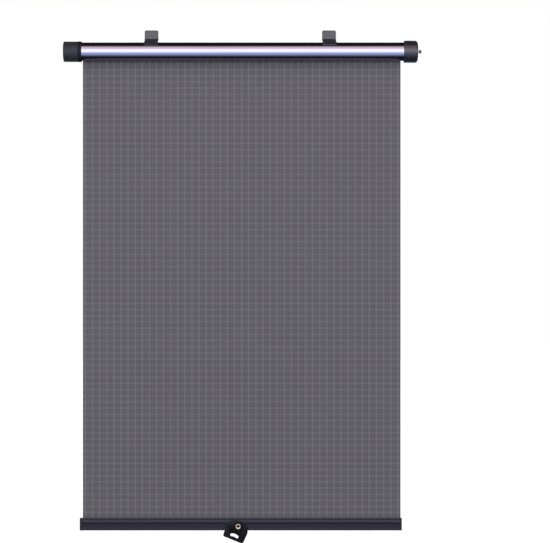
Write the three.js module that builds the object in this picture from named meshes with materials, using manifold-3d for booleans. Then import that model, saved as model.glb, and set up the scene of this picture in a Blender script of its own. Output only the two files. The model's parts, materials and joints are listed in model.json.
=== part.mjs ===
// Roller sunshade for a car side window, pulled fully down and locked, as it hangs on its clips.
// Millimetres, +Z up. The cabin side faces -Y and the glass is on the +Y side.
// The origin is on the axis of the housing tube, half way along the cloth.
import * as THREE from 'three';
import { mergeVertices } from 'three/addons/utils/BufferGeometryUtils.js';
import Module from 'manifold-3d';

const wasm = await Module();
wasm.setup();

// Cloth
const clothWidth = 400;
const clothDrop = 586.3; // tube axis down to the top of the bottom bar
const clothThickness = 0.25; // between the raised yarns
const yarnPitchAcross = 8.94;
const yarnPitchDown = 7.75;
const yarnWidth = 1.1;
const yarnHeight = 0.07;
const turnsLeft = 1.25; // turns still on the roller when the shade is down
const wrapGap = 0.1;

// Roller
const rollerRadius = 6;
const rollerWall = 1;
const rollerOverhang = 2; // roller past the cloth at each end
const plugDepth = 12; // how far an end fitting reaches into the roller
const plugGap = 0.1;
const flangeThickness = 2.5;
const flangeRadius = 7;
const runningGap = 0.3;

// Housing tube
const tubeRadius = 12;
const tubeWall = 0.9;
const slotHalfWidth = 1.9;
const snapGap = 0.15; // between the tube and what is pushed over it

// Left end
const collarSetback = 0.6; // cloth edge to collar
const collarWidth = 5.4;
const collarRadius = 12.5;
const collarTeeth = 30;
const toothHeight = 0.4;
const leftCapLength = 17.6;
const leftCapRadius = 12.8;
const capEndWall = 2.5;
const capChamfer = 1.1;
const shaftRadius = 2;
const shaftFlat = 1.3; // axis to the flat that stops the shaft from turning
const shaftGap = 0.05;
const socketBossRadius = 4.6;
const shaftReach = 152; // from the roller's left end to the shaft's free end

// Counterbalance spring
const springWire = 1.1;
const springRadius = 3.55;
const springTurns = 21;
const spigotRadius = 2.8;
const spigotLength = 6;
const anchorRadius = 4.2;
const anchorLength = 8;

// Right end
const rightCapSetback = 3; // cloth edge to the cap's mouth
const rightCapLength = 19.6;
const rightCapRadius = 14.1;
const domeHeight = 2.2;
const domeCorner = 2.6;
const journalRadius = 4;
const journalLength = 4;
const journalGap = 0.08;
const bearingBody = 8.2;
const bearingFlange = 1.5;
const bearingWeb = 1.5;
const bearingGap = 0.2;
const capLedge = 5.6;
const chamberRadius = 4.6;
const stemSide = 3;
const stemGap = 0.15;
const buttonRadius = 2.4;
const buttonProud = 3.4;
const buttonCollarRadius = 4.4;
const buttonCollarLength = 2;
const buttonHoleGap = 0.35;
const returnSpringWire = 0.7;
const returnSpringRadius = 3.3;
const returnSpringTurns = 3;
const brakeSeatLength = 4;
const brakeSeatSlope = 0.4;
const brakeGap = 0.15;
const brakeNose = 2.5;
const brakeBody = 4.6;

// Bottom bar
const barHeight = 15.5;
const barDepth = 5;
const barWall = 1.3;
const barCorner = 0.7;
const barLipHeight = 1.2;
const barSlit = 1.4;
const barLeftPlugHead = 3.8; // end plugs past the cloth and the bar's own section
const barRightPlugHead = 1.5;
const plugProud = 0.1; // end plugs stand proud of the bar's section
const plugTongue = 10;
const hemRodRadius = 0.9;
const hemGap = 0.1;
const grooveGap = 0.2;

// Eyelet and pull tab
const eyeletOffset = -4.5;
const eyeletHeight = 5.2; // above the bar's lower edge
const eyeletHole = 1.45;
const eyeletNeck = 2.2;
const eyeletHead = 3.7;
const eyeletRim = 0.6;
const eyeletGap = 0.1;
const washerRadius = 4.6;
const washerThickness = 0.6;
const tabTilt = THREE.MathUtils.degToRad(22);
const tabThickness = 2.2;
const tabTop = 7.3;
const tabShoulder = 3; // below the eyelet
const tabHalfWidth = 14.1;
const tabFootHalfWidth = 13.6;
const tabFoot = 18.1; // below the eyelet
const tabCorner = 2.6;
const tabSlotCentre = 12.2;
const tabSlotLength = 11;
const tabSlotHeight = 3.8;
const tabSlotRise = 0.8; // of its middle above its ends
const tabBossRadius = 5.25;
const tabBossBore = 4.05;
const tabBossProud = 3.6;
const tabGap = 0.3;

// Hanging clips
const clipOffset = 111.75; // each clip from the middle of the pair
const clipShift = -1.75; // middle of the pair from the middle of the cloth
const clipWidth = 17.5;
const clipWall = 1.6;
const clipFrom = THREE.MathUtils.degToRad(-38); // from the glass side, turning up
const clipTo = THREE.MathUtils.degToRad(144);
const tailGap = 0.4; // from the raised bar's back to the tail below the band
const tailThickness = 1.5;
const tailReach = 2.6; // below the tube
const lugHeight = 27.8; // tube axis to the lug's upper edge
const lugBack = 12.6;
const lugThickness = 5;
const lugCorner = 2;
const lugRim = 1.5;
const lugRecess = 0.6;
const lugRecessFoot = 17;
const lugRootReach = 4.6; // forwards from the lug's face, down to the band
const pocketFront = 1.6;
const pocketBack = 1.4;
const pocketWidth = 12.4;
const pocketFoot = 15;
const keyholeRadius = 4.4;
const keyholeCentre = 19.4;
const keySlotWidth = 5;
const keySlotTop = 25.2;

// Fineness of round shapes: wide ones take small steps, and small ones take few
const wideStep = THREE.MathUtils.degToRad(7.5);
const smallStep = THREE.MathUtils.degToRad(15);
const wideSegments = Math.round(2 * Math.PI / wideStep);
const smallSegments = Math.round(2 * Math.PI / smallStep);
const cornerSegments = 3;
const stepsPerTurn = 8; // of a coil

// Places along the shade, from the sizes above
const halfCloth = clothWidth / 2;
const halfRoller = halfCloth + rollerOverhang;
const collarRight = -halfCloth - collarSetback;
const collarLeft = collarRight - collarWidth;
const shadeLeft = collarLeft - leftCapLength;
const tubeLeft = shadeLeft + capEndWall;
const bushLeft = -halfRoller - flangeThickness;
const hubRight = halfRoller + flangeThickness;
const bearingLeft = hubRight + runningGap;
const tubeRight = bearingLeft + bearingBody;
const bearingRight = tubeRight + bearingFlange;
const capInnerRight = bearingRight + capLedge;
const capMouthRight = halfCloth + rightCapSetback;
const shadeRight = capMouthRight + rightCapLength;
const journalBore = journalLength + runningGap;
const springSeat = bearingLeft + journalBore + bearingWeb;
const brakeSeat = halfRoller - plugDepth;
const stemLeft = brakeSeat - buttonCollarLength;
const shaftRight = -halfRoller + shaftReach;

// Places across the shade
const wrapPitch = clothThickness + 2 * yarnHeight;
const clothLine = rollerRadius + wrapGap + clothThickness / 2 + wrapPitch * turnsLeft;
const barTop = -clothDrop;
const barBottom = barTop - barHeight;
const barFront = clothLine - barDepth / 2;
const barBack = clothLine + barDepth / 2;
const hemRadius = hemRodRadius + hemGap + clothThickness / 2;
const hemOutside = hemRadius + clothThickness / 2;
const hemCentre = barTop - barLipHeight - hemOutside - grooveGap;
const grooveBottom = hemCentre - hemOutside - grooveGap;
const eyeletZ = barBottom + eyeletHeight;

const finishes = {
  tube: { color: 0x4a4750, roughness: 0.14, metalness: 1 },
  cap: { color: 0x1c1b20, roughness: 0.5, metalness: 0 },
  clip: { color: 0x24222a, roughness: 0.35, metalness: 0 },
  bar: { color: 0x201f28, roughness: 0.45, metalness: 0 },
  cloth: { color: 0x65636a, roughness: 0.9, metalness: 0 },
  eyelet: { color: 0xc9ad72, roughness: 0.3, metalness: 1 },
  steel: { color: 0x9a9a9e, roughness: 0.35, metalness: 1 },
  roller: { color: 0xb4b6b8, roughness: 0.4, metalness: 1 },
  inner: { color: 0x3a3a3e, roughness: 0.6, metalness: 0 },
};

// Extrudes a shape drawn with Y across and Z up, from one place along X to another.
function alongX(shape, from, to) {
  const geometry = new THREE.ExtrudeGeometry(shape, {
    depth: to - from,
    bevelEnabled: false,
    curveSegments: cornerSegments,
  });
  const turn = new THREE.Matrix4().makeBasis(
    new THREE.Vector3(0, 1, 0),
    new THREE.Vector3(0, 0, 1),
    new THREE.Vector3(1, 0, 0),
  );
  return geometry.applyMatrix4(turn).translate(from, 0, 0);
}

// Extrudes a shape drawn with X across and Z up, from one place along Y to another.
function alongY(shape, from, to) {
  const geometry = new THREE.ExtrudeGeometry(shape, {
    depth: to - from,
    bevelEnabled: false,
    curveSegments: cornerSegments,
  });
  return geometry.rotateX(Math.PI / 2).translate(0, to, 0);
}

// Turns an outline of [distance along the axis, radius] points about the X axis.
function turned(outline, segments = smallSegments) {
  const points = outline.map(([along, radius]) => new THREE.Vector2(radius, along));
  if (THREE.ShapeUtils.area(points) < 0) points.reverse();
  return new THREE.LatheGeometry(points, segments).rotateZ(-Math.PI / 2);
}

// Closes an outline that stays clear of the axis.
function closed(outline) {
  return [...outline, outline[0]];
}

// Turns a list of [along Y, radius] points about an axis that runs along Y.
function turnedAboutY(outline) {
  return turned(outline).rotateZ(Math.PI / 2);
}

function solidOf(geometry) {
  const bare = geometry.clone();
  bare.deleteAttribute('normal');
  bare.deleteAttribute('uv');
  const merged = mergeVertices(bare, 1e-4);
  return new wasm.Manifold(new wasm.Mesh({
    numProp: 3,
    vertProperties: merged.attributes.position.array,
    triVerts: new Uint32Array(merged.index.array),
  }));
}

function geometryOf(solid) {
  const mesh = solid.getMesh();
  const geometry = new THREE.BufferGeometry();
  geometry.setAttribute('position', new THREE.BufferAttribute(new Float32Array(mesh.vertProperties), 3));
  geometry.setIndex(new THREE.BufferAttribute(new Uint32Array(mesh.triVerts), 1));
  const flat = geometry.toNonIndexed();
  flat.computeVertexNormals();
  return flat;
}

function cut(body, ...tools) {
  return geometryOf(tools.reduce((left, tool) => left.subtract(solidOf(tool)), solidOf(body)));
}

function joined(...bodies) {
  return geometryOf(bodies.slice(1).reduce((sum, body) => sum.add(solidOf(body)), solidOf(bodies[0])));
}

function box(xFrom, xTo, yFrom, yTo, zFrom, zTo) {
  const geometry = new THREE.BoxGeometry(xTo - xFrom, yTo - yFrom, zTo - zFrom);
  return geometry.translate((xFrom + xTo) / 2, (yFrom + yTo) / 2, (zFrom + zTo) / 2);
}

// A rectangle with round corners, as a shape or as a hole in one.
function roundedRectangle(Kind, left, right, bottom, top, corner) {
  const outline = new Kind();
  outline.moveTo(left + corner, bottom);
  outline.lineTo(right - corner, bottom);
  outline.absarc(right - corner, bottom + corner, corner, -Math.PI / 2, 0);
  outline.lineTo(right, top - corner);
  outline.absarc(right - corner, top - corner, corner, 0, Math.PI / 2);
  outline.lineTo(left + corner, top);
  outline.absarc(left + corner, top - corner, corner, Math.PI / 2, Math.PI);
  outline.lineTo(left, bottom + corner);
  outline.absarc(left + corner, bottom + corner, corner, Math.PI, Math.PI * 1.5);
  return outline;
}

// Points on an arc, from one angle to another, with one point for each step or part of one.
function arcPoints(radius, from, to, step, centreX = 0, centreY = 0) {
  const count = Math.max(2, Math.round(Math.abs(to - from) / step));
  return Array.from({ length: count + 1 }, (unused, index) => {
    const angle = from + (to - from) * index / count;
    return new THREE.Vector2(centreX + radius * Math.cos(angle), centreY + radius * Math.sin(angle));
  });
}

// A full circle's points, without the last one that would repeat the first.
function circlePoints(radius, step, centreX = 0, centreY = 0) {
  return arcPoints(radius, 0, 2 * Math.PI, step, centreX, centreY).slice(1);
}

// A band of a ring between two angles.
function ringBand(inner, outer, from, to) {
  return new THREE.Shape([...arcPoints(outer, from, to, wideStep), ...arcPoints(inner, to, from, wideStep)]);
}

// A ribbon of even thickness along a line of points.
function ribbon(line, thickness) {
  const sides = [[], []];
  line.forEach((point, index) => {
    const before = line[Math.max(index - 1, 0)];
    const after = line[Math.min(index + 1, line.length - 1)];
    const along = after.clone().sub(before).normalize();
    const across = new THREE.Vector2(-along.y, along.x).multiplyScalar(thickness / 2);
    sides[0].push(point.clone().add(across));
    sides[1].push(point.clone().sub(across));
  });
  return new THREE.Shape([...sides[1], ...sides[0].reverse()]);
}

// A closed coil of round wire about the X axis.
class Coil extends THREE.Curve {
  constructor(radius, turns, from, to) {
    super();
    Object.assign(this, { radius, turns, from, to });
  }

  getPoint(share, target = new THREE.Vector3()) {
    const angle = share * this.turns * 2 * Math.PI;
    return target.set(
      this.from + (this.to - this.from) * share,
      this.radius * Math.cos(angle),
      this.radius * Math.sin(angle),
    );
  }
}

function coilSpring(radius, turns, wire, from, to) {
  const section = new THREE.Shape(circlePoints(wire / 2, Math.PI / 3));
  return new THREE.ExtrudeGeometry(section, {
    extrudePath: new Coil(radius, turns, from + wire / 2, to - wire / 2),
    steps: Math.round(turns * stepsPerTurn),
    bevelEnabled: false,
  });
}

// Housing tube: a rolled C section, open along its lower glass side for the cloth
function housingTube() {
  const slotFront = -Math.acos((clothLine - slotHalfWidth) / tubeRadius);
  const slotBack = -Math.acos((clothLine + slotHalfWidth) / tubeRadius);
  const section = ringBand(tubeRadius - tubeWall, tubeRadius, slotBack, slotFront + 2 * Math.PI);
  return alongX(section, tubeLeft, tubeRight);
}

// Left end: a cup over the tube, with a boss that holds the spring shaft by its flat
function flattedShape(Kind, radius, flat) {
  const half = Math.acos(flat / radius);
  return new Kind(arcPoints(radius, half, 2 * Math.PI - half, smallStep));
}

function leftEndCap() {
  const bore = tubeRadius + snapGap * 2;
  const body = turned([
    [shadeLeft, 0],
    [shadeLeft, leftCapRadius - capChamfer],
    [shadeLeft + capChamfer, leftCapRadius],
    [collarLeft, leftCapRadius],
    [collarLeft, bore],
    [tubeLeft, bore],
    [tubeLeft, socketBossRadius],
    [bushLeft - runningGap, socketBossRadius],
    [bushLeft - runningGap, 0],
  ], wideSegments);
  const socket = flattedShape(THREE.Shape, shaftRadius + shaftGap, shaftFlat + shaftGap);
  return cut(body, alongX(socket, tubeLeft, bushLeft));
}

function leftCollar() {
  const outline = Array.from({ length: collarTeeth * 4 }, (unused, index) => {
    const raised = index % 4 < 2;
    const radius = collarRadius + (raised ? toothHeight : 0);
    const angle = 2 * Math.PI * (index + (raised ? 0 : 0.2)) / (collarTeeth * 4);
    return new THREE.Vector2(radius * Math.cos(angle), radius * Math.sin(angle));
  });
  const ring = new THREE.Shape(outline);
  ring.holes.push(new THREE.Path(circlePoints(tubeRadius + snapGap, wideStep).reverse()));
  return alongX(ring, collarLeft, collarRight);
}

// Roller and its two end fittings
function rollerTube() {
  const ring = new THREE.Shape(circlePoints(rollerRadius, smallStep));
  ring.holes.push(new THREE.Path(circlePoints(rollerRadius - rollerWall, smallStep).reverse()));
  return alongX(ring, -halfRoller, halfRoller);
}

const rollerPlugRadius = rollerRadius - rollerWall - plugGap;

function springBush() {
  return turned(closed([
    [bushLeft, shaftRadius + journalGap],
    [bushLeft, flangeRadius],
    [-halfRoller, flangeRadius],
    [-halfRoller, rollerPlugRadius],
    [-halfRoller + plugDepth, rollerPlugRadius],
    [-halfRoller + plugDepth, spigotRadius],
    [-halfRoller + plugDepth + spigotLength, spigotRadius],
    [-halfRoller + plugDepth + spigotLength, shaftRadius + journalGap],
  ]));
}

function brakeHub() {
  const bore = stemSide * Math.SQRT1_2 + buttonHoleGap;
  return turned(closed([
    [brakeSeat, bore + brakeSeatLength * brakeSeatSlope],
    [brakeSeat, rollerPlugRadius],
    [halfRoller, rollerPlugRadius],
    [halfRoller, flangeRadius],
    [hubRight, flangeRadius],
    [hubRight, journalRadius],
    [hubRight + journalLength, journalRadius],
    [hubRight + journalLength, bore],
    [brakeSeat + brakeSeatLength, bore],
  ]));
}

// Counterbalance: a fixed shaft, the long spring round it, and the anchor on its free end
function springShaft() {
  const socketLength = bushLeft - runningGap - tubeLeft;
  const round = turned([
    [tubeLeft, 0],
    [tubeLeft, shaftRadius],
    [shaftRight, shaftRadius],
    [shaftRight, 0],
  ]);
  const flat = box(tubeLeft - 1, tubeLeft + socketLength, shaftFlat, shaftRadius + 1, -3, 3);
  return cut(round, flat);
}

function springAnchor() {
  const bore = shaftRadius + shaftGap;
  return turned(closed([
    [shaftRight - anchorLength - spigotLength, bore],
    [shaftRight - anchorLength - spigotLength, spigotRadius],
    [shaftRight - anchorLength, spigotRadius],
    [shaftRight - anchorLength, anchorRadius],
    [shaftRight, anchorRadius],
    [shaftRight, bore],
  ]));
}

function counterSpring() {
  const from = -halfRoller + plugDepth + runningGap;
  const to = shaftRight - anchorLength - runningGap;
  return coilSpring(springRadius, springTurns, springWire, from, to);
}

// Right end: a bearing plug in the tube, the cap over it, and the release button through both
function bearingPlug() {
  const journalEnd = bearingLeft + journalBore;
  const body = turned(closed([
    [bearingLeft, journalRadius + journalGap],
    [bearingLeft, tubeRadius - tubeWall - bearingGap],
    [tubeRight, tubeRadius - tubeWall - bearingGap],
    [tubeRight, tubeRadius],
    [bearingRight, tubeRadius],
    [bearingRight, chamberRadius],
    [springSeat, chamberRadius],
    [springSeat, 1],
    [journalEnd, 1],
    [journalEnd, journalRadius + journalGap],
  ]));
  const half = stemSide / 2 + stemGap;
  return cut(body, box(journalEnd - 1, springSeat + 1, -half, half, -half, half));
}

function rightEndCap() {
  const bore = tubeRadius + snapGap * 2;
  const shoulder = rightCapRadius - domeCorner;
  const corner = arcPoints(domeCorner, 0, Math.PI / 2, smallStep * 2).map(({ x, y }) => [
    shadeRight - domeHeight - domeCorner + y,
    shoulder + x,
  ]);
  const holeRadius = buttonRadius + buttonHoleGap;
  return turned(closed([
    [capMouthRight, bore],
    [capMouthRight, rightCapRadius],
    ...corner,
    [shadeRight - domeHeight * 0.35, shoulder * 0.6],
    [shadeRight, holeRadius + 1],
    [shadeRight, holeRadius],
    [capInnerRight, holeRadius],
    [capInnerRight, tubeRadius - capLedge],
    [bearingRight, tubeRadius - capLedge],
    [bearingRight, bore],
  ]), wideSegments);
}

function releaseButton() {
  const tip = shadeRight + buttonProud;
  const dome = arcPoints(buttonRadius, Math.PI / 2, 0, smallStep).map(({ x, y }) => [
    tip - buttonRadius + x,
    y,
  ]);
  const head = turned([
    [capInnerRight - buttonCollarLength, 0],
    [capInnerRight - buttonCollarLength, buttonCollarRadius],
    [capInnerRight, buttonCollarRadius],
    [capInnerRight, buttonRadius],
    ...dome,
  ]);
  const half = stemSide / 2;
  const stem = box(stemLeft, capInnerRight - 1, -half, half, -half, half);
  return joined(head, stem);
}

function returnSpring() {
  return coilSpring(
    returnSpringRadius,
    returnSpringTurns,
    returnSpringWire,
    springSeat,
    capInnerRight - buttonCollarLength,
  );
}

// The cone on the stem's inner end presses into the hub and holds the roller
function brakeCone() {
  const seatRadius = stemSide * Math.SQRT1_2 + buttonHoleGap + brakeSeatLength * brakeSeatSlope;
  const body = turned([
    [stemLeft - brakeBody / 2, 0],
    [stemLeft - brakeBody / 2, seatRadius],
    [brakeSeat - runningGap, seatRadius],
    [brakeSeat, seatRadius - brakeGap],
    [brakeSeat + brakeNose, seatRadius - brakeGap - brakeNose * brakeSeatSlope],
    [brakeSeat + brakeNose, 0],
  ]);
  const half = stemSide / 2 + shaftGap;
  return cut(body, box(stemLeft, brakeSeat + brakeNose + 1, -half, half, -half, half));
}

// Cloth: what is left on the roller, the drop, and the hem round its rod, as one piece.
// Raised yarns run down its front face and across its back face.
function cloth() {
  const startAngle = turnsLeft * 2 * Math.PI;
  const count = Math.ceil(startAngle / smallStep);
  const line = Array.from({ length: count + 1 }, (unused, index) => {
    const angle = startAngle * (1 - index / count);
    const radius = clothLine - wrapPitch * angle / (2 * Math.PI);
    return new THREE.Vector2(radius * Math.cos(angle), radius * Math.sin(angle));
  });
  line.push(new THREE.Vector2(clothLine, hemCentre + hemOutside + grooveGap));
  line.push(...arcPoints(hemRadius, Math.PI * 0.72, Math.PI * 2.28, smallStep * 2, clothLine, hemCentre));
  const sheet = alongX(ribbon(line, clothThickness), -halfCloth, halfCloth);

  const yarnTop = -tubeRadius - 2;
  const yarnBottom = barTop + 1;
  const root = clothThickness / 4;
  const front = clothLine - clothThickness / 2;
  const back = clothLine + clothThickness / 2;
  const yarns = [];
  const down = Math.floor((clothWidth - yarnWidth) / yarnPitchAcross);
  for (let index = 0; index <= down; index += 1) {
    const left = (index - down / 2) * yarnPitchAcross - yarnWidth / 2;
    yarns.push(box(left, left + yarnWidth, front - yarnHeight, front + root, yarnBottom, yarnTop));
  }
  const across = Math.floor((yarnTop - yarnBottom) / yarnPitchDown);
  for (let index = 1; index < across; index += 1) {
    const low = yarnTop - index * yarnPitchDown - yarnWidth / 2;
    yarns.push(box(-halfCloth, halfCloth, back - root, back + yarnHeight, low, low + yarnWidth));
  }
  return joined(sheet, ...yarns);
}

function hemRod() {
  const section = new THREE.Shape(circlePoints(hemRodRadius, smallStep * 2, clothLine, hemCentre));
  return alongX(section, -halfCloth, halfCloth);
}

// Bottom bar: a groove on top holds the hem, and a chamber below stiffens it
const barLeft = -halfCloth - barLeftPlugHead;
const barRight = halfCloth + barRightPlugHead;
const chamberTop = grooveBottom - barWall;
const chamberBottom = barBottom + barWall;

function bottomBar() {
  const outline = roundedRectangle(THREE.Shape, barFront, barBack, barBottom, barTop, barCorner);
  const chamber = roundedRectangle(
    THREE.Path, barFront + barWall, barBack - barWall, chamberBottom, chamberTop, barCorner / 2,
  );
  outline.holes.push(chamber);
  const profile = alongX(outline, -halfCloth, halfCloth);
  const halfGroove = hemOutside + grooveGap;
  const groove = box(
    -halfCloth - 1, halfCloth + 1,
    clothLine - halfGroove, clothLine + halfGroove,
    grooveBottom, barTop - barLipHeight,
  );
  const slit = box(
    -halfCloth - 1, halfCloth + 1,
    clothLine - barSlit / 2, clothLine + barSlit / 2,
    barTop - barLipHeight - 1, barTop + 1,
  );
  const eyeletBore = turnedAboutY([
    [barFront - 1, 0],
    [barFront - 1, eyeletNeck + eyeletGap],
    [barBack + 1, eyeletNeck + eyeletGap],
    [barBack + 1, 0],
  ]).translate(eyeletOffset, 0, eyeletZ);
  return cut(profile, groove, slit, eyeletBore);
}

// An end plug: a head of the bar's outline, and a tongue in its chamber.
function barPlug(headFrom, headTo, tongueFrom, tongueTo) {
  const head = roundedRectangle(
    THREE.Shape,
    barFront - plugProud, barBack + plugProud, barBottom - plugProud, barTop + plugProud, barCorner,
  );
  const tongueGap = hemGap;
  const tongue = box(
    tongueFrom, tongueTo,
    barFront + barWall + tongueGap, barBack - barWall - tongueGap,
    chamberBottom + tongueGap, chamberTop - tongueGap,
  );
  return joined(alongX(head, headFrom, headTo), tongue);
}

// Eyelet through the pull tab and the bar, its head over the tab and its flare over the washer
const tabBack = barFront - tabGap;
const tabFront = tabBack - tabThickness;
const eyeletBack = barBack + eyeletGap + washerThickness + eyeletGap;

function eyelet() {
  const headFront = tabFront - eyeletGap - eyeletRim;
  return turnedAboutY(closed([
    [headFront, eyeletHole + eyeletRim / 2],
    [headFront, eyeletHead - eyeletRim / 2],
    [headFront + eyeletRim / 2, eyeletHead],
    [headFront + eyeletRim, eyeletHead],
    [headFront + eyeletRim, eyeletNeck],
    [eyeletBack, eyeletNeck],
    [eyeletBack, eyeletHead - eyeletRim],
    [eyeletBack + eyeletRim, eyeletHead - eyeletRim * 1.5],
    [eyeletBack + eyeletRim, eyeletHole + eyeletRim / 2],
    [eyeletBack + eyeletRim / 2, eyeletHole],
    [headFront + eyeletRim / 2, eyeletHole],
  ])).translate(eyeletOffset, 0, eyeletZ);
}

function washer() {
  const bore = eyeletNeck + eyeletGap;
  return turnedAboutY(closed([
    [barBack + eyeletGap, bore],
    [barBack + eyeletGap, washerRadius],
    [barBack + eyeletGap + washerThickness, washerRadius],
    [barBack + eyeletGap + washerThickness, bore],
  ])).translate(eyeletOffset, 0, eyeletZ);
}

// A slot with round ends, arched about a point below it.
function archedSlot(length, height, rise, centre) {
  const reach = (length - height) / 2;
  const radius = (reach ** 2 + rise ** 2) / (2 * rise);
  const half = Math.asin(reach / radius);
  const pivot = centre + rise / 2 - radius;
  const end = pivot + radius * Math.cos(half);
  const quarter = Math.PI / 2;
  return new THREE.Path([
    ...arcPoints(radius + height / 2, quarter + half, quarter - half, smallStep, 0, pivot).slice(1),
    ...arcPoints(height / 2, quarter - half, -quarter - half, smallStep * 2, reach, end).slice(1),
    ...arcPoints(radius - height / 2, quarter - half, quarter + half, smallStep, 0, pivot).slice(1),
    ...arcPoints(height / 2, half - quarter, half - 3 * quarter, smallStep * 2, -reach, end).slice(1),
  ]);
}

// Pull tab, drawn hanging straight with the eyelet at its origin
function pullTab() {
  const plate = new THREE.Shape();
  plate.moveTo(-tabFootHalfWidth + tabCorner, -tabFoot);
  plate.lineTo(tabFootHalfWidth - tabCorner, -tabFoot);
  plate.quadraticCurveTo(tabFootHalfWidth, -tabFoot, tabFootHalfWidth + 0.1, -tabFoot + tabCorner);
  plate.lineTo(tabHalfWidth, -tabShoulder);
  plate.absellipse(0, -tabShoulder, tabHalfWidth, tabTop + tabShoulder, 0, Math.PI);
  plate.lineTo(-tabFootHalfWidth - 0.1, -tabFoot + tabCorner);
  plate.quadraticCurveTo(-tabFootHalfWidth, -tabFoot, -tabFootHalfWidth + tabCorner, -tabFoot);
  plate.holes.push(archedSlot(tabSlotLength, tabSlotHeight, tabSlotRise, -tabSlotCentre));
  const boss = turnedAboutY(closed([
    [tabFront - tabBossProud, tabBossBore],
    [tabFront - tabBossProud, tabBossRadius],
    [tabFront + tabThickness / 2, tabBossRadius],
    [tabFront + tabThickness / 2, tabBossBore],
  ]));
  const bore = turnedAboutY([
    [tabFront - 1, 0],
    [tabFront - 1, eyeletNeck + eyeletGap],
    [tabBack + 1, eyeletNeck + eyeletGap],
    [tabBack + 1, 0],
  ]);
  return cut(joined(alongY(plate, tabFront, tabBack), boss), bore);
}

// Hanging clip: a snap band over the tube's glass side, with a tail to pull it off by behind the cloth,
// and a lug whose keyhole opens to the glass
function hangingClip() {
  const bandInner = tubeRadius + snapGap;
  const halfWidth = clipWidth / 2;
  const lugFront = lugBack - lugThickness;
  const band = alongX(ringBand(bandInner, bandInner + clipWall, clipFrom, clipTo), -halfWidth, halfWidth);
  const lug = alongY(
    roundedRectangle(THREE.Shape, -halfWidth, halfWidth, tubeRadius / 4, lugHeight, lugCorner),
    lugFront, lugBack,
  );
  const tailFront = barBack + tailGap;
  const tail = box(-halfWidth, halfWidth, tailFront, tailFront + tailThickness, -tubeRadius - tailReach, 0);
  const rootFoot = lugFront - lugRootReach;
  const rootTop = Math.sqrt((bandInner + clipWall / 2) ** 2 - rootFoot ** 2);
  const root = alongX(
    new THREE.Shape([
      new THREE.Vector2(rootFoot, rootTop),
      new THREE.Vector2(lugFront + 1, bandInner - clipWall),
      new THREE.Vector2(lugFront + 1, lugRecessFoot),
      new THREE.Vector2(lugFront, lugRecessFoot),
    ]),
    -halfWidth, halfWidth,
  );
  const tubeSpace = turned([
    [-clipWidth, 0],
    [-clipWidth, bandInner],
    [clipWidth, bandInner],
    [clipWidth, 0],
  ], wideSegments);
  const face = alongY(
    roundedRectangle(
      THREE.Shape, -halfWidth + lugRim, halfWidth - lugRim, lugRecessFoot, lugHeight - lugRim, lugCorner / 2,
    ),
    lugFront - 1, lugFront + lugRecess,
  );
  const pocket = box(
    -pocketWidth / 2, pocketWidth / 2,
    lugFront + pocketFront, lugBack - pocketBack,
    pocketFoot, keySlotTop,
  );
  const keyEntry = alongY(
    new THREE.Shape(circlePoints(keyholeRadius, smallStep, 0, keyholeCentre)),
    lugFront + pocketFront, lugBack + 1,
  );
  const keySlot = alongY(
    roundedRectangle(
      THREE.Shape, -keySlotWidth / 2, keySlotWidth / 2, keyholeCentre, keySlotTop, keySlotWidth * 0.4,
    ),
    lugFront + pocketFront, lugBack + 1,
  );
  return cut(joined(cut(joined(lug, root, tail), tubeSpace), band), face, pocket, keyEntry, keySlot);
}

const shade = new THREE.Group();

function add(parent, name, geometry, finish) {
  const mesh = new THREE.Mesh(geometry, new THREE.MeshStandardMaterial(finish));
  mesh.name = name;
  parent.add(mesh);
  return mesh;
}

add(shade, 'housing_tube', housingTube(), finishes.tube);
add(shade, 'left_end_cap', leftEndCap(), finishes.cap);
add(shade, 'left_collar', leftCollar(), finishes.cap);
add(shade, 'right_end_cap', rightEndCap(), finishes.cap);
add(shade, 'bearing_plug', bearingPlug(), finishes.inner);
add(shade, 'spring_shaft', springShaft(), finishes.steel);
add(shade, 'spring_anchor', springAnchor(), finishes.inner);
add(shade, 'counter_spring', counterSpring(), finishes.steel);

add(shade, 'roller_tube', rollerTube(), finishes.roller);
add(shade, 'spring_bush', springBush(), finishes.inner);
add(shade, 'brake_hub', brakeHub(), finishes.inner);

add(shade, 'release_button', releaseButton(), finishes.cap);
add(shade, 'brake_cone', brakeCone(), finishes.inner);
add(shade, 'return_spring', returnSpring(), finishes.steel);

add(shade, 'cloth', cloth(), finishes.cloth);
add(shade, 'hem_rod', hemRod(), finishes.inner);
add(shade, 'bottom_bar', bottomBar(), finishes.bar);
add(
  shade, 'bar_left_plug',
  barPlug(barLeft, -halfCloth, -halfCloth - 1, -halfCloth + plugTongue),
  finishes.bar,
);
add(
  shade, 'bar_right_plug',
  barPlug(halfCloth, barRight, halfCloth - plugTongue, halfCloth + 1),
  finishes.bar,
);
add(shade, 'eyelet', eyelet(), finishes.eyelet);
add(shade, 'eyelet_washer', washer(), finishes.eyelet);

const tab = add(shade, 'pull_tab', pullTab(), finishes.cap);
tab.position.set(eyeletOffset, 0, eyeletZ);
tab.rotation.y = tabTilt;

for (const [name, side] of [['left_clip', -1], ['right_clip', 1]]) {
  const clip = add(shade, name, hangingClip(), finishes.clip);
  clip.position.x = clipShift + side * clipOffset;
}

export default shade;
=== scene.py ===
"""Looks of a roller sunshade for a car side window, pulled down and hanging on its two clips.

Metres, in the row frame: +Z up, the cabin side faces -Y, and the origin is on the housing tube's axis.
"""

import json
import math

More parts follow.
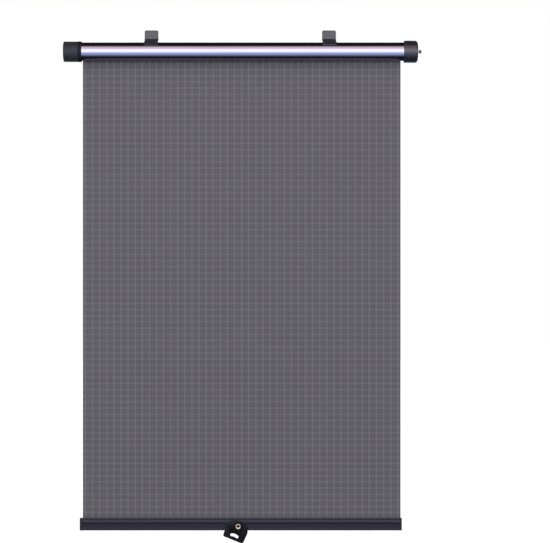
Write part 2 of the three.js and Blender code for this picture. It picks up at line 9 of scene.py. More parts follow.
import bmesh
import bpy
import numpy as np
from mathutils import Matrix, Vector

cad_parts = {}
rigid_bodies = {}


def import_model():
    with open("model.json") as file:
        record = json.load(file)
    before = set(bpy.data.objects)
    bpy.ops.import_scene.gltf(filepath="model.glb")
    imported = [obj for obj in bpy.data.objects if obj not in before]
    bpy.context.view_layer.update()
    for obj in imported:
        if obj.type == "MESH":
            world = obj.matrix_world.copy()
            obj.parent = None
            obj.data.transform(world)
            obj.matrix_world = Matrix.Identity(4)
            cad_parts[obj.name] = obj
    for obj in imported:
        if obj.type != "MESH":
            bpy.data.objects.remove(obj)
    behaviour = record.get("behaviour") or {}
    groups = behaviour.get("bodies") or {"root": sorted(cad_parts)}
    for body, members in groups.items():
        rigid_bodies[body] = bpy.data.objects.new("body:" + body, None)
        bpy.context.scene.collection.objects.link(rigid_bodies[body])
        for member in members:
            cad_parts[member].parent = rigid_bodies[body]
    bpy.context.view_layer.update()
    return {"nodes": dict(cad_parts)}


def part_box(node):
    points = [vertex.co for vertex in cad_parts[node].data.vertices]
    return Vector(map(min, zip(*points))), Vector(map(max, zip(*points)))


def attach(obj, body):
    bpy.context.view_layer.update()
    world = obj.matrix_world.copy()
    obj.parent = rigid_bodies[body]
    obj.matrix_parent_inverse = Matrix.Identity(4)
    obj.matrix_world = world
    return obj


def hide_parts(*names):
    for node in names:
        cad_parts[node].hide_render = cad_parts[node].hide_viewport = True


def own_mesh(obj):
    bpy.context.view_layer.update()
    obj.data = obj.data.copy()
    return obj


for thing in list(bpy.data.objects):
    bpy.data.objects.remove(thing)

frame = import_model()
scene = bpy.context.scene

MM = 0.001

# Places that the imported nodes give
ROD_LOW, ROD_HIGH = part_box("hem_rod")
CLOTH_Y = (ROD_LOW.y + ROD_HIGH.y) / 2
HEM_Z = (ROD_LOW.z + ROD_HIGH.z) / 2
HALF_CLOTH = ROD_HIGH.x
BAR_LOW, BAR_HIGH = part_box("bottom_bar")
TUBE_LOW, TUBE_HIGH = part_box("housing_tube")
TUBE_RADIUS = TUBE_HIGH.z
ROLLER_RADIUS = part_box("roller_tube")[1].z
EYELET_LOW, EYELET_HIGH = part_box("eyelet")
EYELET_X = (EYELET_LOW.x + EYELET_HIGH.x) / 2
EYELET_Z = (EYELET_LOW.z + EYELET_HIGH.z) / 2

# Cloth
THICKNESS = 0.25 * MM
YARN_ACROSS = 8.94 * MM
YARN_DOWN = 7.75 * MM
YARN_START = -TUBE_RADIUS - 2 * MM
YARN_WIDTH = 1.1 * MM
YARN_HEIGHT = 0.1 * MM
FINE_YARNS = 12
BACK_YARN_SHARE = 0.6
WRAP_GAP = 0.1 * MM
HEM_ROD_RADIUS = 0.9 * MM
TURNS_LEFT = 1.25

# Across one yarn: share of its width from its middle, and share of its height there
YARN_PROFILE = ((-0.5, 0.0), (-0.2, 0.9), (0.2, 0.9), (0.5, 0.0))

# Tone from the middle of a yarn (0) to the middle of the cell beside it (1)
CLOTH_TONE = (0.1225, 0.117, 0.1295)
TONES_ACROSS = ((0, 1.27), (0.18, 1.16), (0.34, 0.98), (0.52, 0.9), (0.74, 0.93), (1, 0.99))
TONES_DOWN = ((0, 1.19), (0.18, 1.12), (0.36, 1.0), (0.56, 0.93), (0.76, 0.93), (1, 0.97))

# Tube, caps and button
PART_GAP = 0.3 * MM
TUBE_WALL = 0.9 * MM
TUBE_SLOT_HALF = 1.9 * MM
CAP_BORE = TUBE_RADIUS + PART_GAP
CAP_LEDGE = 5.6 * MM
SHAFT_BOSS = 4.6 * MM
DOME_DEPTH = 2.2 * MM
BUTTON_BORE = 2.75 * MM
KNOB_RADIUS = 2.4 * MM
STEM_RADIUS = 1.5 * MM
SHOULDER_RADIUS = 4.4 * MM
SHOULDER_DEPTH = 2 * MM

# Eyelet and washer
BARREL_RADIUS = 2.2 * MM
EYELET_BORE = 1.45 * MM
WASHER_BORE = 2.3 * MM
WASHER_RADIUS = 4.6 * MM

# Camera
PICTURE = (550, 543)
PIXEL = 1.2594 * MM
ORIGIN_PIXEL = (241.7, 52.4)
CAMERA_DISTANCE = 2.4
SHIFT_X = 0.06
SENSOR = 36.0

picture_width = PICTURE[0] * PIXEL
camera = bpy.data.objects.new("camera", bpy.data.cameras.new("camera"))
scene.collection.objects.link(camera)
camera.location = (
    (PICTURE[0] / 2 - ORIGIN_PIXEL[0]) * PIXEL - SHIFT_X * picture_width,
    CLOTH_Y - CAMERA_DISTANCE,
    -(PICTURE[1] / 2 - ORIGIN_PIXEL[1]) * PIXEL,
)
camera.rotation_euler = (math.pi / 2, 0, 0)
camera.data.sensor_width = SENSOR
camera.data.lens = SENSOR * CAMERA_DISTANCE / picture_width
camera.data.shift_x = SHIFT_X
camera.data.clip_end = 50
scene.camera = camera
scene.view_settings.view_transform = "Standard"


# Materials
class Nodes:
    """Adds nodes to one tree. An input is a number, a colour or another node's output."""

    def __init__(self, tree):
        self.tree = tree

    def add(self, kind, inputs=(), **settings):
        node = self.tree.nodes.new("ShaderNode" + kind)
        for key, value in settings.items():
            setattr(node, key, value)
        for key, value in dict(inputs).items():
            self.feed(node.inputs[key], value)
        return node

    def feed(self, socket, value):
        if isinstance(value, bpy.types.NodeSocket):
            self.tree.links.new(value, socket)
        else:
            socket.default_value = value

    def math(self, operation, a, b=0.0, c=0.0):
        return self.add("Math", {0: a, 1: b, 2: c}, operation=operation).outputs[0]

    def ramp(self, value, stops):
        node = self.add("ValToRGB", {0: value})
        band = node.color_ramp
        while len(band.elements) < len(stops):
            band.elements.new(1.0)
        for element, (place, colour) in zip(band.elements, stops):
            element.position = place
            grey = isinstance(colour, (int, float))
            element.color = (colour, colour, colour, 1) if grey else (*colour, 1)
        return node.outputs[0]

    def mix(self, share, a, b, blend="MIX"):
        node = self.add("Mix", data_type="RGBA", blend_type=blend)
        for index, value in ((0, share), (6, a), (7, b)):
            self.feed(node.inputs[index], value)
        return node.outputs[2]


class Finish(Nodes):
    """A Principled material whose patterns follow the row frame."""

    def __init__(self, name, roughness, **sockets):
        self.block = bpy.data.materials.new(name)
        self.block.use_nodes = True
        super().__init__(self.block.node_tree)
        self.shader = self.tree.nodes["Principled BSDF"]
        self.place = self.add("TexCoord").outputs["Object"]
        self.shader.inputs["Roughness"].default_value = roughness
        for key, value in sockets.items():
            self.shader.inputs[key.replace("_", " ")].default_value = value

    def noise(self, scale, stretch=(1, 1, 1), detail=3.0):
        vector = self.add("Mapping", {"Vector": self.place, "Scale": stretch}).outputs[0]
        return self.add("TexNoise", {"Vector": vector, "Scale": scale, "Detail": detail}).outputs[0]

    def colour(self, value):
        self.feed(self.shader.inputs["Base Color"], value)

    def between(self, low, high, share):
        self.colour(self.mix(share, (*low, 1), (*high, 1)))

    def rough(self, low, high, share):
        value = self.add("MapRange", {0: share, 1: 0.3, 2: 0.7, 3: low, 4: high}).outputs[0]
        self.feed(self.shader.inputs["Roughness"], value)

    def bump(self, height, strength, distance):
        inputs = {"Height": height, "Strength": strength, "Distance": distance}
        self.feed(self.shader.inputs["Normal"], self.add("Bump", inputs).outputs[0])


def moulded(name, low, high, roughness, grain=0.05 * MM, **sockets):
    """Moulded plastic: a fine even grain, faint flow marks and worn, smoother patches."""
    finish = Finish(name, roughness, **sockets)
    finish.between(low, high, finish.noise(70, detail=5))
    finish.rough(roughness - 0.07, roughness + 0.08, finish.noise(160, detail=4))
    finish.bump(finish.noise(2600, detail=2), 0.35, grain)
    return finish.block


def drawn(name, low, high, rough_low, rough_high, lines=0.004 * MM):
    """Metal drawn along X: fine lines, and slow changes of gloss along its length."""
    finish = Finish(name, rough_low, Metallic=1.0)
    finish.between(low, high, finish.noise(22, (0.4, 4, 4), 4))
    finish.rough(rough_low, rough_high, finish.noise(40, (0.3, 8, 8), 4))
    finish.bump(finish.noise(300, (0.02, 5, 5), 3), 0.3, lines)
    return finish.block


def extruded(name):
    """Bar plastic: a satin extrusion with fine die lines along X."""
    finish = Finish(name, 0.42, Specular_IOR_Level=0.3)
    lines = finish.noise(900, (0.01, 1, 1), 3)
    finish.between((0.0105, 0.0082, 0.0135), (0.018, 0.0148, 0.023), finish.noise(60, (0.15, 3, 3), 4))
    finish.rough(0.36, 0.5, lines)
    finish.bump(lines, 0.4, 0.03 * MM)
    return finish.block


# The two ramps hold shares of the tones below 1, and whole pitches keep the grid's count positive
RAMP_SHARE = 0.5
GRID_SHIFT = 200.5


def woven(name):
    """Coated mesh: fine over-and-under weave inside a grid of thicker yarns, drawn lighter along their
    middles and darker beside them.
    """
    finish = Finish(name, 0.85, Specular_IOR_Level=0.25)
    axes = finish.add("SeparateXYZ", {0: finish.place}).outputs
    across, down = axes["X"], finish.math("SUBTRACT", YARN_START, axes["Z"])
    sides = []
    for value, pitch, tones in ((across, YARN_ACROSS, TONES_ACROSS), (down, YARN_DOWN, TONES_DOWN)):
        turns = finish.math("ADD", finish.math("DIVIDE", value, pitch), GRID_SHIFT)
        off = finish.math("ABSOLUTE", finish.math("SUBTRACT", finish.math("FRACT", turns), 0.5))
        scaled = [(place, level * RAMP_SHARE) for place, level in tones]
        sides.append(finish.ramp(finish.math("MULTIPLY", off, 2.0), scaled))
    grid = finish.mix(1.0, sides[0], sides[1], "MULTIPLY")
    speckle = finish.ramp(finish.noise(900, detail=2), ((0.3, 0.93), (0.7, 1.07)))
    cloudy = finish.ramp(finish.noise(9, detail=3), ((0.3, 0.985), (0.7, 1.015)))
    tone = finish.mix(1.0, finish.mix(1.0, grid, speckle, "MULTIPLY"), cloudy, "MULTIPLY")
    full_tone = [channel / RAMP_SHARE ** 2 for channel in CLOTH_TONE]
    finish.colour(finish.mix(1.0, tone, (*full_tone, 1), "MULTIPLY"))
    waves = [
        finish.math("SINE", finish.math("MULTIPLY", value, 2 * math.pi / (pitch / FINE_YARNS)))
        for value, pitch in ((across, YARN_ACROSS), (down, YARN_DOWN))
    ]
    finish.bump(finish.math("MULTIPLY", *waves), 0.5, 0.05 * MM)
    return finish.block


TUBE_METAL = drawn("tube_metal", (0.27, 0.255, 0.295), (0.33, 0.315, 0.355), 0.1, 0.16)
CAP_PLASTIC = moulded(
    "cap_plastic", (0.02, 0.0185, 0.025), (0.028, 0.026, 0.035), 0.5, Specular_IOR_Level=0.2,
)
# A darker, glossier copy of the cap plastic for the right cap and the button. The two caps are one plastic:
# the darker colour is painted shade, and the extra gloss stands in for a lamp on the right.
SHADED_GLOSSY_CAP_COPY = moulded("cap_plastic_painted_shade_copy", (0.015, 0.014, 0.02), (0.022, 0.021, 0.03), 0.24, 0.02 * MM)
TAB_PLASTIC = moulded(
    "tab_plastic", (0.005, 0.0045, 0.006), (0.009, 0.008, 0.011), 0.42, Specular_IOR_Level=0.12,
)
CLIP_PLASTIC = moulded(
    "clip_plastic", (0.026, 0.0245, 0.034), (0.034, 0.032, 0.045), 0.22, 0.01 * MM,
    Specular_IOR_Level=0.42,
)
BAR_PLASTIC = extruded("bar_plastic")
MESH_CLOTH = woven("mesh_cloth")
BRASS = moulded("pale_brass", (0.74, 0.56, 0.30), (0.86, 0.68, 0.42), 0.24, 0.004 * MM, Metallic=1.0)
WIRE = drawn("spring_wire", (0.42, 0.42, 0.44), (0.58, 0.58, 0.6), 0.28, 0.4)
ALUMINIUM = drawn("plain_aluminium", (0.68, 0.69, 0.7), (0.78, 0.79, 0.8), 0.3, 0.42)
INNER_PLASTIC = moulded("inner_plastic", (0.17, 0.17, 0.185), (0.22, 0.22, 0.235), 0.5)

CARRIED = {
    "bearing_plug": INNER_PLASTIC,
    "spring_anchor": INNER_PLASTIC,
    "spring_bush": INNER_PLASTIC,
    "brake_hub": INNER_PLASTIC,
    "brake_cone": INNER_PLASTIC,
    "hem_rod": WIRE,
    "spring_shaft": WIRE,
    "counter_spring": WIRE,
    "roller_tube": ALUMINIUM,
}
for node_name, block in CARRIED.items():
    for slot in frame["nodes"][node_name].material_slots:
        slot.material = block


# Mesh making
SHARP = math.radians(38)


def arc(centre, radius, start, end, count):
    """Points on an arc in the plane of two axes, angles in degrees."""
    angles = np.radians(np.linspace(start, end, count + 1))
    return [(centre[0] + radius * math.cos(a), centre[1] + radius * math.sin(a)) for a in angles]


def filleted(corners, steps=4):
    """A closed outline of (u, v) or (u, v, radius) corners, with each radius turned into an arc."""
    out = []
    count = len(corners)
    for index, corner in enumerate(corners):
        here = Vector(corner[:2])
        radius = corner[2] if len(corner) > 2 else 0.0
        if radius <= 0:
            out.append(tuple(here))
            continue
        before = Vector(corners[index - 1][:2]) - here
        after = Vector(corners[(index + 1) % count][:2]) - here
        half = before.angle(after) / 2
        reach = min(radius / math.tan(half), before.length * 0.49, after.length * 0.49)
        start = here + before.normalized() * reach
        end = here + after.normalized() * reach
        for step in range(steps + 1):
            t = step / steps
            point = (1 - t) ** 2 * start + 2 * t * (1 - t) * here + t * t * end
            out.append(tuple(point))
    return out


def finished_mesh(name, bm):
    """Welds, turns all faces outwards, and shades smooth between faces that meet gently."""
    bmesh.ops.remove_doubles(bm, verts=bm.verts, dist=1e-6)
    bmesh.ops.dissolve_degenerate(bm, dist=1e-7, edges=bm.edges)
    bmesh.ops.recalc_face_normals(bm, faces=bm.faces)
    mesh = bpy.data.meshes.new(name)
    bm.to_mesh(mesh)
    bm.free()
    mesh.shade_smooth()
    mesh.set_sharp_from_angle(angle=SHARP)
    return mesh


def mesh_from(name, verts, faces):
    bm = bmesh.new()
    made = [bm.verts.new(v) for v in verts]
    for face in faces:
        bm.faces.new([made[i] for i in face])
    return finished_mesh(name, bm)


def wrapped_faces(rings, count, closed=False):
    """Faces between neighbouring rings of points. The last ring joins the first, or both ends are shut."""
    faces = []
    for ring in range(rings if closed else rings - 1):
        after = (ring + 1) % rings
        for k in range(count):
            beside = (k + 1) % count
            faces.append((ring * count + k, ring * count + beside, after * count + beside, after * count + k))
    if not closed:
        faces.append(tuple(range(count)))
        faces.append(tuple(range((rings - 1) * count, rings * count)))
    return faces


def piece(mesh, body, material, replaces):
    obj = bpy.data.objects.new(mesh.name, mesh)
    scene.collection.objects.link(obj)
    mesh.materials.clear()
    mesh.materials.append(material)
    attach(obj, body)
    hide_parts(*replaces)
    return obj


def turned(name, outline, segments=96, axis="X", centre=(0, 0, 0)):
    """Turns a closed outline of (along, radius) points about an axis through the centre."""
    verts = []
    for along, radius in outline:
        for k in range(segments):
            a = 2 * math.pi * k / segments
            u, v = radius * math.cos(a), radius * math.sin(a)
            spot = (along, u, v) if axis == "X" else (u, along, v)
            verts.append(tuple(c + s for c, s in zip(centre, spot)))
    return mesh_from(name, verts, wrapped_faces(len(outline), segments, closed=True))


def swept(name, section, stations):
    """Sweeps a closed (y, z) section along X, through every x in stations."""
    verts = [(x, y, z) for x in stations for y, z in section]
    return mesh_from(name, verts, wrapped_faces(len(stations), len(section)))


def softened(node_name, name, width, segments=2):
    """A copy of a CAD node's mesh with its edges rounded off inwards."""
    bm = bmesh.new()
    bm.from_mesh(frame["nodes"][node_name].data)
    bmesh.ops.remove_doubles(bm, verts=bm.verts, dist=1e-6)
    bmesh.ops.dissolve_limit(bm, angle_limit=math.radians(0.6), verts=bm.verts, edges=bm.edges)
    bare = bpy.data.meshes.new(name + "_bare")
    order = {v: i for i, v in enumerate(bm.verts)}
    faces = [[order[v] for v in f.verts] for f in bm.faces]
    bare.from_pydata([tuple(v.co) for v in bm.verts], [], faces)
    bm.free()
    holder = bpy.data.objects.new(name + "_bare", bare)
    scene.collection.objects.link(holder)
    bevel = holder.modifiers.new("soft", "BEVEL")
    bevel.width = width
    bevel.segments = segments
    bevel.limit_method = "ANGLE"
    bevel.angle_limit = math.radians(35)
    bevel.use_clamp_overlap = True
    graph = bpy.context.evaluated_depsgraph_get()
    result = bpy.data.meshes.new_from_object(holder.evaluated_get(graph))
    bpy.data.objects.remove(holder)
    bpy.data.meshes.remove(bare)
    bm = bmesh.new()
    bm.from_mesh(result)
    bpy.data.meshes.remove(result)
    return finished_mesh(name, bm)


# Housing
def tube_section():
    """C section, its two lips round, open where the cloth leaves on the glass side."""
    lip = math.degrees(TUBE_WALL / 2 / TUBE_RADIUS)
    start = lip - math.degrees(math.acos((CLOTH_Y + TUBE_SLOT_HALF) / TUBE_RADIUS))
    end = 360 - lip - math.degrees(math.acos((CLOTH_Y - TUBE_SLOT_HALF) / TUBE_RADIUS))
    middle = TUBE_RADIUS - TUBE_WALL / 2
    outer = arc((0, 0), TUBE_RADIUS, start, end, 150)
    inner = arc((0, 0), TUBE_RADIUS - TUBE_WALL, end, start, 110)
    lips = []
    for angle, first in ((end, end), (start, start + 180)):
        rad = math.radians(angle)
        spot = (middle * math.cos(rad), middle * math.sin(rad))
        lips.append(arc(spot, TUBE_WALL / 2, first, first + 180, 6)[1:-1])
    return outer + lips[0] + inner + lips[1]


piece(
    swept("tube_shell", tube_section(), np.linspace(TUBE_LOW.x, TUBE_HIGH.x, 9)),
    "housing", TUBE_METAL, ["housing_tube"],
)

CAP_LOW, CAP_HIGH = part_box("left_end_cap")
boss_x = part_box("spring_bush")[0].x - PART_GAP
piece(
    turned("left_cap_shell", filleted([
        (CAP_LOW.x, 0),
        (CAP_LOW.x, CAP_HIGH.z, 1.3 * MM),
        (CAP_HIGH.x, CAP_HIGH.z, 0.25 * MM),
        (CAP_HIGH.x, CAP_BORE, 0.2 * MM),
        (TUBE_LOW.x, CAP_BORE),
        (TUBE_LOW.x, SHAFT_BOSS),
        (boss_x, SHAFT_BOSS),
        (boss_x, 0),
    ], 5)),
    "housing", CAP_PLASTIC, ["left_end_cap"],
)

RIGHT_LOW, RIGHT_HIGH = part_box("right_end_cap")
ledge_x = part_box("bearing_plug")[1].x
piece(
    turned("right_cap_shell", filleted([
        (RIGHT_LOW.x, CAP_BORE, 0.2 * MM),
        (RIGHT_LOW.x, RIGHT_HIGH.z, 0.4 * MM),
        (RIGHT_HIGH.x - DOME_DEPTH, RIGHT_HIGH.z, 4.2 * MM),
        (RIGHT_HIGH.x, BUTTON_BORE + DOME_DEPTH, 3 * MM),
        (RIGHT_HIGH.x, BUTTON_BORE, 0.3 * MM),
        (ledge_x + CAP_LEDGE, BUTTON_BORE),
        (ledge_x + CAP_LEDGE, TUBE_RADIUS - CAP_LEDGE),
        (ledge_x, TUBE_RADIUS - CAP_LEDGE),
        (ledge_x, CAP_BORE),
    ], 6)),
    "housing", SHADED_GLOSSY_CAP_COPY, ["right_end_cap"],
)

COLLAR_LOW, COLLAR_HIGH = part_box("left_collar")


def collar_mesh():
    """A ring with rounded ribs all round, cut back at its two ends."""
    teeth, per_tooth = 30, 8
    base, top = 12.5 * MM, 12.9 * MM
    inner = TUBE_RADIUS + 0.15 * MM
    stations = [
        (COLLAR_LOW.x, 0.0), (COLLAR_LOW.x + 0.3 * MM, 1.0),
        (COLLAR_HIGH.x - 0.5 * MM, 1.0), (COLLAR_HIGH.x, 0.0),
    ]
    count = teeth * per_tooth
    verts = []
    for x, share in stations:
        for k in range(count):
            a = 2 * math.pi * k / count
            wave = max(0.0, math.cos(teeth * a)) ** 0.6
            radius = base - 0.2 * MM * (1 - share) + (top - base) * wave * share
            verts.append((x, radius * math.cos(a), radius * math.sin(a)))
    for x in (COLLAR_HIGH.x, COLLAR_LOW.x):
        for k in range(count):
            a = 2 * math.pi * k / count
            verts.append((x, inner * math.cos(a), inner * math.sin(a)))
    return mesh_from("collar_ring", verts, wrapped_faces(len(stations) + 2, count, closed=True))


piece(collar_mesh(), "housing", TAB_PLASTIC, ["left_collar"])

BUTTON_LOW, BUTTON_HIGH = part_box("release_button")
shoulder_x = ledge_x + CAP_LEDGE
knob = filleted([
    (BUTTON_LOW.x, 0),
    (BUTTON_LOW.x, STEM_RADIUS),
    (shoulder_x - SHOULDER_DEPTH, STEM_RADIUS),
    (shoulder_x - SHOULDER_DEPTH, SHOULDER_RADIUS, 0.2 * MM),
    (shoulder_x, SHOULDER_RADIUS, 0.2 * MM),
    (shoulder_x, KNOB_RADIUS),
])
knob += arc((BUTTON_HIGH.x - KNOB_RADIUS, 0), KNOB_RADIUS, 90, 0, 10)
piece(
    turned("release_knob", knob, 48),
    "button", SHADED_GLOSSY_CAP_COPY, ["release_button"],
)

SPRING_LOW, SPRING_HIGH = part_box("return_spring")
SPRING_WIRE = 0.35 * MM
SPRING_TURNS = 3


def coil_mesh(name, low, high, radius, wire, turns):
    """A round wire wound about X, its ends flat."""
    steps, sides = 28 * turns, 12
    verts = []
    for step in range(steps + 1):
        share = step / steps
        a = 2 * math.pi * turns * share
        x = low + wire + (high - low - 2 * wire) * share
        for side in range(sides):
            b = 2 * math.pi * side / sides
            out = radius + wire * math.cos(b)
            verts.append((x + wire * math.sin(b), out * math.cos(a), out * math.sin(a)))
    return mesh_from(name, verts, wrapped_faces(steps + 1, sides))


coil = piece(
    coil_mesh(
        "return_coil", SPRING_LOW.x, SPRING_HIGH.x - 0.1 * MM, SPRING_HIGH.z - SPRING_WIRE,
        SPRING_WIRE, SPRING_TURNS,
    ),
    "housing", WIRE, ["return_spring"],
)
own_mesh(coil)

for side in ("left", "right"):
    piece(
        softened(side + "_clip", side + "_clip_shell", 0.35 * MM, 3),
        "clip_" + side, CLIP_PLASTIC, [side + "_clip"],
    )

# Bar, plugs, eyelet and tab
bar_front, bar_back, bar_top, bar_foot = BAR_LOW.y, BAR_HIGH.y, BAR_HIGH.z, BAR_LOW.z
slit = 0.7 * MM
groove = 1.45 * MM
groove_lip = 1.2 * MM


def bar_section():
    """The bar's section: hem groove on top, a raised band near the top of the front, a panel below it."""
    f, t, b = bar_front, bar_top, bar_foot
    return filleted([
        (CLOTH_Y - slit, t, 0.15 * MM),
        (f + 0.35 * MM, t, 0.3 * MM),
        (f + 0.1 * MM, t - 1.7 * MM, 0.2 * MM),
        (f + 0.6 * MM, t - 2.1 * MM, 0.1 * MM),
        (f + 0.45 * MM, t - 2.7 * MM, 0.2 * MM),
        (f, t - 4.6 * MM, 0.8 * MM),
        (f, t - 6.3 * MM, 0.3 * MM),
        (f + 0.5 * MM, t - 6.8 * MM, 0.2 * MM),
        (f + 0.5 * MM, b + 2.2 * MM, 0.3 * MM),
        (f, b + 1.7 * MM, 0.3 * MM),
        (f, b, 0.8 * MM),
        (bar_back, b, 0.8 * MM),
        (bar_back, t, 0.6 * MM),
        (CLOTH_Y + slit, t, 0.15 * MM),
        (CLOTH_Y + slit, t - groove_lip),
        (CLOTH_Y + groove, t - groove_lip, 0.3 * MM),
        (CLOTH_Y + groove, HEM_Z - groove, 0.8 * MM),
        (CLOTH_Y - groove, HEM_Z - groove, 0.8 * MM),
        (CLOTH_Y - groove, t - groove_lip, 0.3 * MM),
        (CLOTH_Y - slit, t - groove_lip),
    ])


piece(
    swept("bar_shell", bar_section(), np.linspace(BAR_LOW.x, BAR_HIGH.x, 9)),
    "bar", BAR_PLASTIC, ["bottom_bar"],
)
for side in ("left", "right"):
    piece(
        softened(f"bar_{side}_plug", f"bar_{side}_plug_shell", 0.4 * MM, 3),
        "bar", BAR_PLASTIC, [f"bar_{side}_plug"],
    )

head_y, flare_y = EYELET_LOW.y, EYELET_HIGH.y
piece(
    turned("eyelet_ring", filleted([
        (head_y, 2.3 * MM, 0.5 * MM),
        (head_y + 0.1 * MM, 3.5 * MM, 0.25 * MM),
        (head_y + 0.6 * MM, 3.7 * MM, 0.1 * MM),
        (head_y + 0.6 * MM, BARREL_RADIUS),
        (flare_y - 0.6 * MM, BARREL_RADIUS),
        (flare_y - 0.6 * MM, 3.1 * MM, 0.1 * MM),
        (flare_y, 2.8 * MM, 0.2 * MM),
        (flare_y, 1.75 * MM, 0.4 * MM),
        (flare_y - 0.6 * MM, EYELET_BORE, 0.3 * MM),
        (head_y + 0.9 * MM, EYELET_BORE, 0.5 * MM),
        (head_y + 0.25 * MM, 1.75 * MM, 0.3 * MM),
    ]), 64, "Y", (EYELET_X, 0, EYELET_Z)),
    "bar", BRASS, ["eyelet"],
)
WASHER_LOW, WASHER_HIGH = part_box("eyelet_washer")
piece(
    turned("washer_ring", filleted([
        (WASHER_LOW.y, WASHER_BORE),
        (WASHER_LOW.y, WASHER_RADIUS, 0.15 * MM),
        (WASHER_HIGH.y, WASHER_RADIUS, 0.2 * MM),
        (WASHER_HIGH.y, WASHER_BORE, 0.1 * MM),
    ]), 64, "Y", (EYELET_X, 0, EYELET_Z)),
    "bar", BRASS, ["eyelet_washer"],
)
piece(
    softened("pull_tab", "tab_shell", 0.4 * MM, 3),
    "tab", TAB_PLASTIC, ["pull_tab"],
)


# Cloth pieces
def stops_for(first, last, centres, width):
    """Places along one side of the cloth: four for each yarn, and its two ends."""
    places = {first: 0.0, last: 0.0}
    for centre in centres:
        for offset, height in YARN_PROFILE:
            spot = centre + offset * width
            if first < spot < last:
                places[spot] = height
    spots = sorted(places)
    return spots, [places[s] for s in spots]


def drop_mesh():
    """The hanging cloth as one thin closed skin, with raised yarns down its front and across its back."""
    ups = np.arange(-22, 23) * YARN_ACROSS
    lows = -(-YARN_START + np.arange(0, 74) * YARN_DOWN)
    xs, ridge = stops_for(-HALF_CLOTH, HALF_CLOTH, ups, YARN_WIDTH)
    zs, step = stops_for(bar_top, 0.0, sorted(lows), YARN_WIDTH)
    verts, faces = [], []
    half = THICKNESS / 2
    for sign in (-1, 1):
        for z, across in zip(zs, step):
            for x, along in zip(xs, ridge):
                raised = max(along, across) if sign < 0 else max(along * BACK_YARN_SHARE, across)
                verts.append((x, CLOTH_Y + sign * (half + YARN_HEIGHT * raised), z))
    nx, nz = len(xs), len(zs)
    size = nx * nz
    for j in range(nz - 1):
        for i in range(nx - 1):
            a = j * nx + i
            faces.append((a, a + 1, a + nx + 1, a + nx))
            faces.append((size + a, size + a + nx, size + a + nx + 1, size + a + 1))
    for j in range(nz - 1):
        for i in (0, nx - 1):
            a = j * nx + i
            faces.append((a, a + nx, size + a + nx, size + a))
    for i in range(nx - 1):
        for j in (0, nz - 1):
            a = j * nx + i
            faces.append((a, size + a, size + a + 1, a + 1))
    return mesh_from("cloth_drop", verts, faces)


def ribbon_mesh(name, line, thickness):
    """A strip of cloth that follows a (y, z) line, the full width of the shade."""
    points = np.array(line)
    along = np.gradient(points, axis=0)
    along /= np.linalg.norm(along, axis=1)[:, None]
    normal = np.stack([-along[:, 1], along[:, 0]], axis=1) * thickness / 2
    section = [tuple(p) for p in points + normal] + [tuple(p) for p in (points - normal)[::-1]]
    return swept(name, section, [-HALF_CLOTH, HALF_CLOTH])


def roll_line():
    """The turns left on the roller, from where the cloth hangs down to the roller's face."""
    pitch = (CLOTH_Y - ROLLER_RADIUS - WRAP_GAP - THICKNESS / 2) / TURNS_LEFT
    angles = np.linspace(0, TURNS_LEFT * 2 * math.pi, 91)
    radii = CLOTH_Y - pitch * angles / (2 * math.pi)
    return [(r * math.cos(a), r * math.sin(a)) for r, a in zip(radii, angles)]


def hem_line():
    """The hem, from the bar's upper face round its rod."""
    radius = HEM_ROD_RADIUS + WRAP_GAP + THICKNESS / 2
    line = [(CLOTH_Y, bar_top), (CLOTH_Y, bar_top - 0.6 * MM), (CLOTH_Y, HEM_Z + radius + 0.3 * MM)]
    return line + arc((CLOTH_Y, HEM_Z), radius, 130, 400, 18)


drop = piece(drop_mesh(), "housing", MESH_CLOTH, ["cloth"])
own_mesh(drop)
roll_mesh = ribbon_mesh("cloth_roll", roll_line(), THICKNESS)
roll = piece(roll_mesh, "roller", MESH_CLOTH, ["cloth"])
hem_mesh = ribbon_mesh("cloth_hem", hem_line(), THICKNESS)
hem = piece(hem_mesh, "bar", MESH_CLOTH, ["cloth"])


# Stage and light
FLOOR_Z = -0.95
FLOOR_REACH = 12.0


def seen_directly(nodes):
    """1 for camera, glossy and transmission rays."""
    path = nodes.add("LightPath").outputs
    both = nodes.math("MAXIMUM", path["Is Camera Ray"], path["Is Glossy Ray"])
    return nodes.math("MAXIMUM", both, path["Is Transmission Ray"])


world = bpy.data.worlds.new("studio")
scene.world = world
world.use_nodes = True
nodes = Nodes(world.node_tree)
world.node_tree.nodes.clear()
soft = nodes.add("Background", {"Color": (0.97, 0.98, 1.0, 1), "Strength": 0.42})
white = nodes.add("Background", {"Color": (1, 1, 1, 1), "Strength": 1.0})
choice = nodes.add("MixShader", {0: seen_directly(nodes), 1: soft.outputs[0], 2: white.outputs[0]})
nodes.add("OutputWorld", {"Surface": choice.outputs[0]})

floor_mesh = bpy.data.meshes.new("floor")
quarters = ((-1, -1), (1, -1), (1, 1), (-1, 1))
corners = [(x * FLOOR_REACH, y * FLOOR_REACH, FLOOR_Z) for x, y in quarters]
floor_mesh.from_pydata(corners, [], [(0, 1, 2, 3)])
floor = bpy.data.objects.new("floor", floor_mesh)
scene.collection.objects.link(floor)
floor_block = bpy.data.materials.new("pale_floor")
floor_block.use_nodes = True
nodes = Nodes(floor_block.node_tree)
paint = floor_block.node_tree.nodes["Principled BSDF"]
paint.inputs["Base Color"].default_value = (0.86, 0.86, 0.86, 1)
paint.inputs["Roughness"].default_value = 0.9
paint.inputs["Specular IOR Level"].default_value = 0.0
nodes.feed(paint.inputs["Emission Color"], (1, 1, 1, 1))
nodes.feed(paint.inputs["Emission Strength"], nodes.math("MULTIPLY", seen_directly(nodes), 0.4))
floor_mesh.materials.append(floor_block)

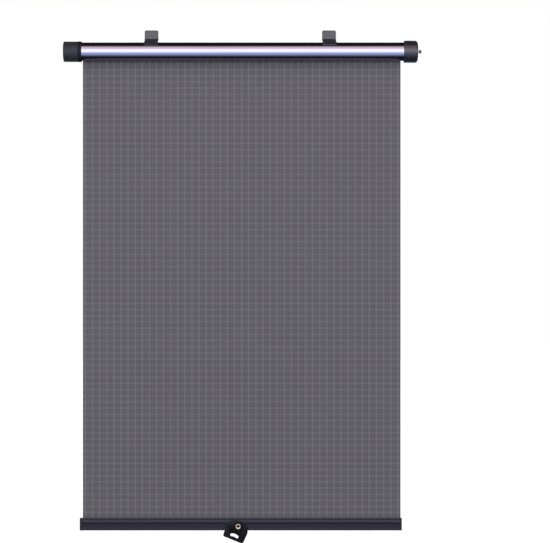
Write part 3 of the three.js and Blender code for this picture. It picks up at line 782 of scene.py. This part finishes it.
# A studio tent round the shade, seen by glossy rays alone. Elevation runs from straight behind,
# under the shade, round the front and over the top.
TENT_RADIUS = 0.9
TENT_HALF = 2.2
TENT_STEPS = 72
tent_levels = (
    (-180, (3.2, 3.2, 3.4)),
    (-168, (1.7, 1.9, 2.4)),
    (-152, (0.8, 0.95, 1.3)),
    (-136, (0.2, 0.22, 0.3)),
    (-115, (0.02, 0.02, 0.03)),
    (-74, (0.02, 0.02, 0.03)),
    (-60, (0.1, 0.12, 0.25)),
    (-50, (0.42, 0.52, 0.75)),
    (-38, (0.75, 0.92, 1.3)),
    (-25, (0.95, 1.15, 1.85)),
    (-14, (1.8, 2.0, 2.8)),
    (-3, (3.0, 3.2, 3.6)),
    (12, (3.6, 3.6, 3.7)),
    (24, (2.9, 2.6, 2.85)),
    (37, (1.95, 1.65, 1.85)),
    (50, (1.8, 1.45, 1.6)),
    (63, (0.45, 0.32, 0.34)),
    (73, (0.02, 0.02, 0.02)),
    (128, (0.02, 0.02, 0.02)),
    (142, (0.4, 0.36, 0.4)),
    (152, (1.7, 1.5, 1.65)),
    (164, (3.1, 3.0, 3.2)),
    (180, (3.2, 3.2, 3.4)),
)
TENT_PEAK = 4.0
verts, faces = [], []
for k in range(TENT_STEPS):
    a = 2 * math.pi * k / TENT_STEPS
    for x in (-TENT_HALF, TENT_HALF):
        verts.append((x, -TENT_RADIUS * math.cos(a), TENT_RADIUS * math.sin(a)))
for k in range(TENT_STEPS):
    a, b = 2 * k, 2 * ((k + 1) % TENT_STEPS)
    faces.append((a, a + 1, b + 1, b))
tent_mesh = bpy.data.meshes.new("reflector")
tent_mesh.from_pydata(verts, [], faces)
tent = bpy.data.objects.new("reflector", tent_mesh)
scene.collection.objects.link(tent)
tent_block = bpy.data.materials.new("reflector_light")
tent_block.use_nodes = True
tent_block.node_tree.nodes.clear()
nodes = Nodes(tent_block.node_tree)
axes = nodes.add("SeparateXYZ", {0: nodes.add("TexCoord").outputs["Object"]}).outputs
front = nodes.math("MULTIPLY", axes["Y"], -1.0)
elevation = nodes.math("ARCTAN2", axes["Z"], front)
share = nodes.math("MULTIPLY_ADD", elevation, 1 / (2 * math.pi), 0.5)
stops = [((angle + 180) / 360, tuple(c / TENT_PEAK for c in level)) for angle, level in tent_levels]
glow = nodes.add("Emission", {"Color": nodes.ramp(share, stops), "Strength": TENT_PEAK})
nodes.add("OutputMaterial", {"Surface": glow.outputs[0]})
tent_mesh.materials.append(tent_block)
for flag in ("camera", "diffuse", "transmission", "volume_scatter", "shadow"):
    setattr(tent, "visible_" + flag, False)


def sun(name, azimuth, height, strength, spread):
    """A wide, far lamp. Azimuth 0 shines from the camera's side, and 90 from +X."""
    lamp = bpy.data.lights.new(name, "SUN")
    lamp.energy = strength
    lamp.angle = math.radians(spread)
    obj = bpy.data.objects.new(name, lamp)
    scene.collection.objects.link(obj)
    a, e = math.radians(azimuth), math.radians(height)
    source = Vector((math.sin(a) * math.cos(e), -math.cos(a) * math.cos(e), math.sin(e)))
    obj.rotation_mode = "QUATERNION"
    obj.rotation_quaternion = source.to_track_quat("Z", "Y")
    obj.visible_glossy = False
    return obj


sun("front_light", -18, 22, 1.3, 60)
sun("back_light", 205, 45, 1.1, 60)
